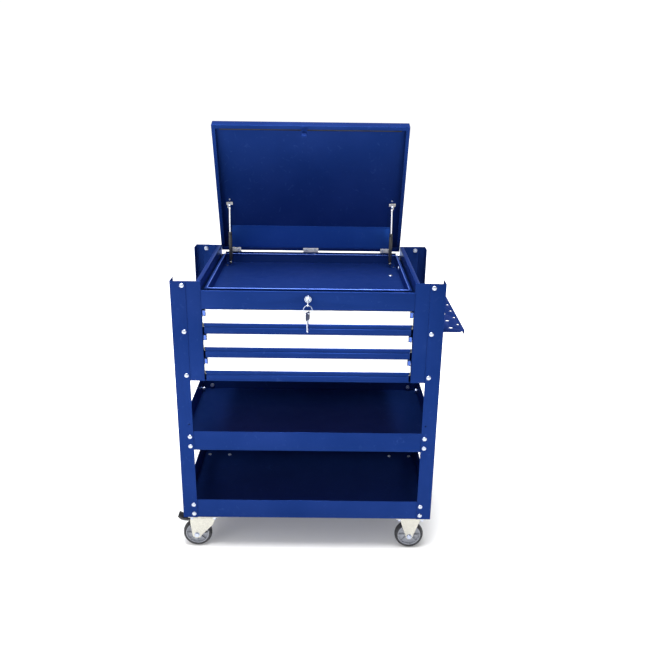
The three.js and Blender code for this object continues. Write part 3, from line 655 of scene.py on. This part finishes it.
set_out(domed_heads, "tray_hinge_rivets", rivets_on_tray, "cart", "zinc_plate", bright_zinc,
        Radius=0.0024, Height=0.0012)
set_out(domed_heads, "lid_hinge_rivets", rivets_on_lid, "lid", "zinc_plate", bright_zinc,
        Radius=0.0022, Height=0.0011)

# --------------------------------------------------------------------- gas struts
# A black cylinder with a bright polished rod, an eye at each end, and a bracket at each
# eye: an angle on the tray floor and a tee under the lid with one screw above it.

def polished(name, tint, rough=0.12):
    """Hard chrome with a few wiped smears."""
    material, shader = new_finish(name, Metallic=1.0)
    tree = material.node_tree
    at = tree.nodes.new("ShaderNodeTexCoord").outputs["Object"]
    smears = wire(tree, "ShaderNodeTexNoise", [("Vector", at)], Scale=90.0, Detail=5.0,
                  Distortion=0.8)
    tree.links.new(ramp(tree, smears.outputs["Fac"], rough, rough + 0.16, 0.4, 0.8),
                   shader.inputs["Roughness"])
    pale = tuple(channel * 0.9 for channel in tint[:3]) + (1,)
    tree.links.new(ramp(tree, smears.outputs["Fac"], tint, pale, 0.3, 0.8),
                   shader.inputs["Base Color"])
    return material


def gloss_black(name, tone=0.012, rough=0.3):
    """Baked black enamel on steel, a little uneven."""
    material, shader = new_finish(name, Specular_IOR_Level=0.5)
    tree = material.node_tree
    at = tree.nodes.new("ShaderNodeTexCoord").outputs["Object"]
    mottle = wire(tree, "ShaderNodeTexNoise", [("Vector", at)], Scale=80.0, Detail=5.0)
    tree.links.new(ramp(tree, mottle.outputs["Fac"], (tone, tone, tone, 1),
                        (tone * 1.9, tone * 1.9, tone * 2.1, 1), 0.3, 0.8),
                   shader.inputs["Base Color"])
    tree.links.new(ramp(tree, mottle.outputs["Fac"], rough - 0.05, rough + 0.15, 0.3, 0.8),
                   shader.inputs["Roughness"])
    peel = wire(tree, "ShaderNodeTexNoise", [("Vector", at)], Scale=700.0)
    add_bump(tree, shader, peel.outputs["Fac"], 0.1, 0.0002)
    return material


def turned(name, profile, start, along, body, finish, sides=64, ease=0.0):
    """A lathe piece: profile holds (radius, distance along) and may close on itself."""
    along = Vector(along).normalized()
    across = along.orthogonal().normalized()
    beside = along.cross(across)
    shape = bmesh.new()
    closed = profile[0] == profile[-1]
    points = profile[:-1] if closed else profile
    rings = []
    for radius, distance in points:
        centre = Vector(start) + along * distance
        if radius == 0:
            rings.append([shape.verts.new(centre)] * sides)
            continue
        ring = []
        for k in range(sides):
            way = across * cos(2 * pi * k / sides) + beside * sin(2 * pi * k / sides)
            ring.append(shape.verts.new(centre + way * radius))
        rings.append(ring)
    pairs = list(zip(rings, rings[1:])) + ([(rings[-1], rings[0])] if closed else [])
    for near, far in pairs:
        for k in range(sides):
            after = (k + 1) % sides
            corners = []
            for corner in (near[k], near[after], far[after], far[k]):
                if corner not in corners:
                    corners.append(corner)
            if len(corners) > 2:
                shape.faces.new(corners)
    bmesh.ops.recalc_face_normals(shape, faces=shape.faces)
    for face in shape.faces:
        face.smooth = True
    for edge in shape.edges:
        edge.smooth = bool(ease) or edge.calc_face_angle(0) < sharp
    data = bpy.data.meshes.new(name)
    shape.to_mesh(data)
    shape.free()
    piece = plain_piece(name, data, body, finish)
    if ease:
        ease_edges(piece, ease)
    return piece


strut_black = gloss_black("strut_enamel")
rod_chrome = polished("rod_chrome", (0.88, 0.89, 0.91, 1))
screws_on_lid, screws_on_tray = [], []
lid_screw_y, lid_screw_z = -0.163, 0.0203
for word in ("left", "right"):
    pivot = next(j for j in frame["joints"] if j["name"] == f"strut_{word}_pivot")
    stroke = next(j for j in frame["joints"] if j["name"] == f"strut_{word}_stroke")
    eye, way = Vector(pivot["pos_m"]), Vector(stroke["axis"]).normalized()
    cylinder, rod = f"strut_cylinder_{word}", f"strut_rod_{word}"
    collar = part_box(cylinder)[1].z - eye.z
    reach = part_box(rod)[1].z - 0.0046 - eye.z
    radius, bore, bore_depth = 0.0050, 0.0028, 0.076
    tube = turned(f"{cylinder}_tube",
                  [(0, 0.006), (radius * 0.8, 0.006), (radius, 0.008), (radius, collar - 0.010),
                   (radius * 0.93, collar - 0.0095), (radius * 0.93, collar - 0.0080),
                   (radius, collar - 0.0075), (radius, collar - 0.0015), (radius * 0.8, collar),
                   (bore, collar), (bore, collar - bore_depth), (0, collar - bore_depth)],
                  eye, way, f"strut_{word}_cylinder", strut_black, sides=48)
    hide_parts(cylinder)
    side = 1 if word == "right" else -1
    eye_bore, eye_radius = 0.0025, 0.0046
    for name, centre, half, carrier, finish, slot in (
            ("foot_eye", eye, 0.0030, f"strut_{word}_cylinder", strut_black, "black_steel"),
            ("head_eye", eye + way * reach, 0.0026, f"strut_{word}_rod", bright_zinc,
             "zinc_plate")):
        turned(f"strut_{word}_{name}",
               [(eye_bore, -half), (eye_radius, -half), (eye_radius, half), (eye_bore, half),
                (eye_bore, -half)],
               centre, (1, 0, 0), carrier, finish, sides=40, ease=0.0003)
    turned(f"strut_{word}_foot_neck",
           [(0, 0.0030), (0.0024, 0.0030), (0.0030, 0.0064), (0, 0.0064)],
           eye, way, f"strut_{word}_cylinder", strut_black, sides=24)
    bar = turned(f"{rod}_bar",
                 [(0, collar - 0.016), (0.0025, collar - 0.016), (0.0025, reach - 0.012),
                  (0.0034, reach - 0.011), (0.0034, reach - 0.0042), (0, reach - 0.0042)],
                 eye, way, f"strut_{word}_rod", rod_chrome, sides=32)
    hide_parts(rod)
    finished(f"strut_foot_{word}", blue_paint, bend=0.0005)
    finished(f"strut_head_{word}", hinge_zinc, bend=0.0004)
    screws_on_tray.append((Vector((eye.x + side * 0.0115, eye.y, eye.z - 0.0095)),
                           Vector((0, 0, 1))))
    screws_on_lid.append((opened @ Vector((eye.x, lid_screw_y, lid_screw_z)),
                          lid_way @ Vector((0, 0, -1))))
set_out(domed_heads, "strut_foot_screws", screws_on_tray, "cart", "black_steel", strut_black,
        Radius=0.0032, Height=0.0018)
set_out(domed_heads, "lid_bracket_screws", screws_on_lid, "lid", "zinc_plate", bright_zinc,
        Radius=0.0026, Height=0.0014)

# --------------------------------------------------------------------------- lock
# A chromed cam lock in the apron. The plug turns in the barrel and carries a zinc cam;
# the key stands in it, with a ring and a spare key with a moulded blue cover.
lock_joint = next(joint for joint in frame["joints"] if joint["name"] == "lock_turn")
lock_axis = Vector(lock_joint["pos_m"])
lock_chrome = polished("lock_chrome", (0.52, 0.57, 0.68, 1), 0.16)
key_steel = polished("key_nickel", (0.55, 0.59, 0.68, 1), 0.22)
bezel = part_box("lock_barrel")[0].y
barrel_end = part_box("lock_barrel")[1].y
plug_bore, barrel_radius, bezel_radius = 0.0064, 0.0080, 0.0095
barrel = turned("lock_barrel_body",
                [(plug_bore, bezel + 0.0006), (0.0078, bezel), (0.0088, bezel + 0.0004),
                 (bezel_radius, bezel + 0.0016), (bezel_radius, front - sheet_gap),
                 (barrel_radius, front - sheet_gap), (barrel_radius, barrel_end),
                 (plug_bore, barrel_end), (plug_bore, bezel + 0.0006)],
                (lock_axis.x, 0, lock_axis.z), (0, 1, 0), "cart", lock_chrome)
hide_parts("lock_barrel")
finished("lock_plug", lock_chrome, bend=0.0003, rim=0.0002)
finished("lock_cam", bright_zinc, bend=0.0004)
finished("key", key_steel, bend=0.0004, rim=0.0003)

ring_low, ring_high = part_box("key_ring")
ring_centre = (ring_low + ring_high) / 2
wire_radius = 0.0008
ring_radius = (ring_high.x - ring_low.x) / 2 - wire_radius
loop = [ring_centre + Vector((cos(a), 0, sin(a))) * ring_radius
        for a in (2 * pi * k / 72 for k in range(72))]
split_ring = bent_wire("split_ring", loop, wire_radius, "key_ring_set",
                       lock_chrome, closed=True)
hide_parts("key_ring")


def moulded_plastic(name, tone, pale):
    """Moulded plastic with a fine spark-eroded grain."""
    material, shader = new_finish(name, Specular_IOR_Level=0.4)
    tree = material.node_tree
    at = tree.nodes.new("ShaderNodeTexCoord").outputs["Object"]
    handling = wire(tree, "ShaderNodeTexNoise", [("Vector", at)], Scale=60.0, Detail=5.0)
    tree.links.new(ramp(tree, handling.outputs["Fac"], tone, pale, 0.3, 0.75),
                   shader.inputs["Base Color"])
    tree.links.new(ramp(tree, handling.outputs["Fac"], 0.38, 0.58, 0.3, 0.7),
                   shader.inputs["Roughness"])
    grain = wire(tree, "ShaderNodeTexNoise", [("Vector", at)], Scale=2400.0)
    add_bump(tree, shader, grain.outputs["Fac"], 0.15, 0.0001)
    return material


cover_blue = moulded_plastic("key_cover_blue", (0.006, 0.012, 0.045, 1),
                             (0.012, 0.022, 0.075, 1))
cover_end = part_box("spare_key")[1].z - 0.0225
for word, finish, slot, keep_above in (("cover", cover_blue, "key_cover", True),
                                       ("blade", key_steel, "chrome", False)):
    half = bmesh.new()
    half.from_mesh(frame["nodes"]["spare_key"].data)
    bmesh.ops.remove_doubles(half, verts=half.verts, dist=2e-6)
    cut = bmesh.ops.bisect_plane(half, geom=half.verts[:] + half.edges[:] + half.faces[:],
                                 plane_co=(0, 0, cover_end), plane_no=(0, 0, 1),
                                 clear_inner=keep_above, clear_outer=not keep_above)
    rim_edges = [item for item in cut["geom_cut"] if isinstance(item, bmesh.types.BMEdge)]
    bmesh.ops.holes_fill(half, edges=rim_edges)
    bmesh.ops.dissolve_limit(half, angle_limit=radians(0.6), verts=half.verts, edges=half.edges)
    bmesh.ops.recalc_face_normals(half, faces=half.faces)
    for face in half.faces:
        face.smooth = True
    data = bpy.data.meshes.new(f"spare_key_{word}")
    half.to_mesh(data)
    half.free()
    piece = plain_piece(f"spare_key_{word}", data, "key_ring_set", finish)
    ease_edges(piece, 0.0006 if keep_above else 0.0003, segments=3)
    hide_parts("spare_key")

# ------------------------------------------------------------------------- casters
# Four 84 mm casters with pressed zinc forks. The left pair swivels on a ball race and
# has a black brake pedal; the right pair is rigid. Each wheel is a grey moulded hub with
# eight ribs a side and a black tyre with a rounded tread, on a bolt through the fork.

def tread_rubber():
    """Grey-black tyre rubber, scuffed and dusty in patches."""
    material, shader = new_finish("tyre_rubber", Specular_IOR_Level=0.3)
    tree = material.node_tree
    at = tree.nodes.new("ShaderNodeTexCoord").outputs["Object"]
    scuffs = wire(tree, "ShaderNodeTexNoise", [("Vector", at)], Scale=120.0, Detail=7.0,
                  Distortion=0.6)
    tree.links.new(ramp(tree, scuffs.outputs["Fac"], (0.018, 0.019, 0.022, 1),
                        (0.055, 0.056, 0.062, 1), 0.35, 0.75), shader.inputs["Base Color"])
    tree.links.new(ramp(tree, scuffs.outputs["Fac"], 0.55, 0.8, 0.3, 0.7),
                   shader.inputs["Roughness"])
    add_bump(tree, shader, scuffs.outputs["Fac"], 0.25, 0.0003)
    return material


def rib_tree():
    """Slim tapered ribs: a block from Inner to Outer along X, Thick wide and Deep high."""
    tree, given = new_tree("hub_ribs", Inner=0.011, Outer=0.0282, Thick=0.0016, Deep=0.0042)
    block = wire(tree, "GeometryNodeMeshCube", Size=(1.0, 1.0, 1.0))
    x, y, z = point_parts(tree)
    span = sums(tree, "SUBTRACT", given["Outer"], given["Inner"])
    along = sums(tree, "ADD", given["Inner"], sums(tree, "MULTIPLY", span,
                                                  sums(tree, "ADD", x, 0.5)))
    taper = sums(tree, "SUBTRACT", 1.15, sums(tree, "MULTIPLY", x, 0.4))
    wide = sums(tree, "MULTIPLY", sums(tree, "MULTIPLY", y, given["Thick"]), taper)
    high = sums(tree, "MULTIPLY", sums(tree, "ADD", z, 0.5), given["Deep"])
    repeat(tree, given, shaped(tree, block.outputs["Mesh"], along, wide, high), spun=True)
    return tree


caster_zinc = zinc_plate("caster_zinc", (0.56, 0.55, 0.49, 1), (0.46, 0.45, 0.40, 1), 0.38, 0.6)
pedal_black = gloss_black("pedal_enamel", 0.010, 0.42)
tyre_black = tread_rubber()
hub_ribs = rib_tree()
rib_count = 8
hub_grey = moulded_plastic("hub_grey", (0.24, 0.25, 0.29, 1), (0.33, 0.35, 0.39, 1))

plate_heads, plate_nuts = [], []
plate_bolt_x, plate_bolt_y = 0.0325, 0.024
axle_half = 0.0165
bore, boss, boss_end = 0.0049, 0.0118, 0.0105
hub_half, web_half, rim_half, seat_half = 0.0126, 0.0040, 0.0092, 0.0095
tread_half, tread_arc = 0.0095, 0.8
shelf_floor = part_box("bottom_shelf")[0].z + thin_sheet
for end in ("front", "rear"):
    finished(f"{end}_left_caster_plate", caster_zinc, bend=0.0012)
    finished(f"{end}_left_caster_fork", caster_zinc, bend=0.0012)
    finished(f"{end}_left_brake_pedal", pedal_black, bend=0.0010)
    finished(f"{end}_right_caster_fork", caster_zinc, bend=0.0012)
    plate_low, plate_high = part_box(f"{end}_left_caster_plate")
    for centre_x in ((plate_low.x + plate_high.x) / 2,
                     left + right - (plate_low.x + plate_high.x) / 2):
        centre_y = (plate_low.y + plate_high.y) / 2
        for dx in (-plate_bolt_x, plate_bolt_x):
            for dy in (-plate_bolt_y, plate_bolt_y):
                spot = Vector((centre_x + dx, centre_y + dy, shelf_floor))
                plate_heads.append((spot, Vector((0, 0, 1))))
                plate_nuts.append((Vector((spot.x, spot.y, plate_low.z)), Vector((0, 0, -1))))
    for side in ("left", "right"):
        wheel = f"{end}_{side}_wheel"
        carrier = f"{end}_left_swivel" if side == "left" else "cart"
        low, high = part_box(wheel)
        centre = (low + high) / 2
        r = (high.z - low.z) / 2
        tread = [(r - 0.0006 - 0.0028 * (1 - cos(a)) / 0.3,
                  tread_half * sin(a) / sin(tread_arc))
                 for a in (-tread_arc + 0.2 * k for k in range(9))]
        rim_outer, rim_inner = r - 0.0088, r - 0.0118
        wall = [(r - 0.0045, 0.0114), (r - 0.0070, 0.0109), (rim_outer, seat_half),
                (rim_outer, -seat_half), (r - 0.0070, -0.0109), (r - 0.0045, -0.0114)]
        profile = wall[-1:] + tread + wall
        tyre = turned(f"{wheel}_tyre", profile, centre, (0, 1, 0), wheel, tyre_black,
                      sides=96)
        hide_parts(wheel)
        rim_edge = rim_inner + 0.0006
        hub = [(bore, -hub_half), (boss_end, -hub_half), (0.0112, -0.0105), (boss, -web_half),
               (rim_inner, -web_half), (rim_edge, -rim_half), (rim_outer, -rim_half),
               (rim_outer, rim_half), (rim_edge, rim_half), (rim_inner, web_half),
               (boss, web_half), (0.0112, 0.0105), (boss_end, hub_half), (bore, hub_half),
               (bore, -hub_half)]
        turned(f"{wheel}_hub", hub, centre, (0, 1, 0), wheel, hub_grey, sides=72,
               ease=0.0004)
        ribs = [(centre + Vector((0, face * web_half, 0)), Vector((0, face, 0)))
                for face in (-1, 1) for _ in range(rib_count)]
        set_out(hub_ribs, f"{wheel}_ribs", ribs, wheel, "tyre", hub_grey,
                turns=[2 * pi * k / rib_count for k in range(rib_count)] * 2,
                Outer=rim_inner + 0.0004)
        axle_nuts = [(Vector((centre.x, centre.y + axle_half, centre.z)), Vector((0, 1, 0)))]
        axle_heads = [(Vector((centre.x, centre.y - axle_half, centre.z)), Vector((0, -1, 0)))]
        set_out(hexagon_nuts, f"{wheel}_axle_nut", axle_nuts, carrier, "zinc_plate", bright_zinc,
                Flats=0.0115, Height=0.0042, Thread=0.0030)
        set_out(hexagon_nuts, f"{wheel}_axle_bolt_head", axle_heads, carrier, "zinc_plate",
                bright_zinc, Flats=0.0115, Height=0.0036, Thread=0.0001)
set_out(domed_heads, "caster_bolt_heads", plate_heads, "cart", "zinc_plate", bright_zinc,
        Radius=0.0060, Height=0.0030)
set_out(hexagon_nuts, "caster_bolt_nuts", plate_nuts, "cart", "zinc_plate", bright_zinc)

# -------------------------------------------------------------------------- stage
# A pale matt floor with a painted glow that grows away from the cart until it meets a white
# horizon, two soft lamps, one in front on the left and one above, and the camera on its stand.
floor_mesh = bmesh.new()
bmesh.ops.create_circle(floor_mesh, cap_ends=True, segments=96, radius=14)
floor_data = bpy.data.meshes.new("studio_floor")
floor_mesh.to_mesh(floor_data)
floor = bpy.data.objects.new("studio_floor", floor_data)
bpy.context.scene.collection.objects.link(floor)
glowing_floor_finish, floor_shader = new_finish("pale_floor_painted_glow", Base_Color=(0.7, 0.7, 0.7, 1), Roughness=0.8)
floor_tree = glowing_floor_finish.node_tree
spread = wire(floor_tree, "ShaderNodeVectorMath", [
    ("Vector", floor_tree.nodes.new("ShaderNodeTexCoord").outputs["Object"])], operation="LENGTH")
# The emission is painted light: weak under the cart and full further out, so the floor looks white; it also lights
# the cart from below.
floor_tree.links.new(ramp(floor_tree, spread.outputs["Value"], 0.15, 1.0, 0.3, 1.0),
                     floor_shader.inputs["Emission Strength"])
floor_shader.inputs["Emission Color"].default_value = (1, 1, 1, 1)
floor_data.materials.append(glowing_floor_finish)

camera_data = bpy.data.cameras.new("camera")
camera_data.lens = 39.62
camera_data.sensor_width = 36
camera = bpy.data.objects.new("camera", camera_data)
bpy.context.scene.collection.objects.link(camera)
swing, dip, roll = radians(-0.318), radians(19.416), radians(0.737)
aim = (Matrix.Rotation(swing, 4, "Z") @ Matrix.Rotation(pi / 2 - dip, 4, "X")
       @ Matrix.Rotation(roll, 4, "Z"))
stand = Vector((middle + 0.0344, front - 1.7351, 1.3067))
camera.matrix_world = Matrix.Translation(stand) @ aim
bpy.context.scene.camera = camera


def soft_light(name, place, size, power):
    """A round lamp that faces the middle of the cart."""
    data = bpy.data.lights.new(name, "AREA")
    data.shape = "DISK"
    data.size = size
    data.energy = power
    lamp = bpy.data.objects.new(name, data)
    lamp.location = place
    lamp.rotation_euler = (Vector((0, 0, 0.5)) - Vector(place)).to_track_quat("-Z", "Y").to_euler()
    bpy.context.scene.collection.objects.link(lamp)


soft_light("key_light", (-1.9, -1.8, 2.0), 2.4, 34)
soft_light("top_light", (-0.05, -0.5, 3.4), 2.0, 235)
world = bpy.data.worlds.new("studio")
world.use_nodes = True
sky = world.node_tree
way = wire(sky, "ShaderNodeSeparateXYZ",
           [("Vector", sky.nodes.new("ShaderNodeTexCoord").outputs["Generated"])])

# White around the horizon, dim above it, brighter again overhead.
height = wire(sky, "ShaderNodeMath", [(0, way.outputs["Z"])], operation="MULTIPLY_ADD")
height.inputs[1].default_value = height.inputs[2].default_value = 0.5
dome = sky.nodes.new("ShaderNodeValToRGB")
sky.links.new(height.outputs[0], dome.inputs["Fac"])
bands = ((0.0, 1.0), (0.56, 1.0), (0.65, 0.25), (0.81, 0.25), (0.92, 0.6), (1.0, 0.6))
for k, (place, level) in enumerate(bands):
    stop = dome.color_ramp.elements[k] if k < 2 else dome.color_ramp.elements.new(place)
    stop.position = place
    stop.color = (level, level, level, 1)
sky.links.new(dome.outputs["Color"], sky.nodes["Background"].inputs["Color"])
sky.nodes["Background"].inputs["Strength"].default_value = 1.05
bpy.context.scene.world = world
bpy.context.scene.view_settings.view_transform = "Standard"
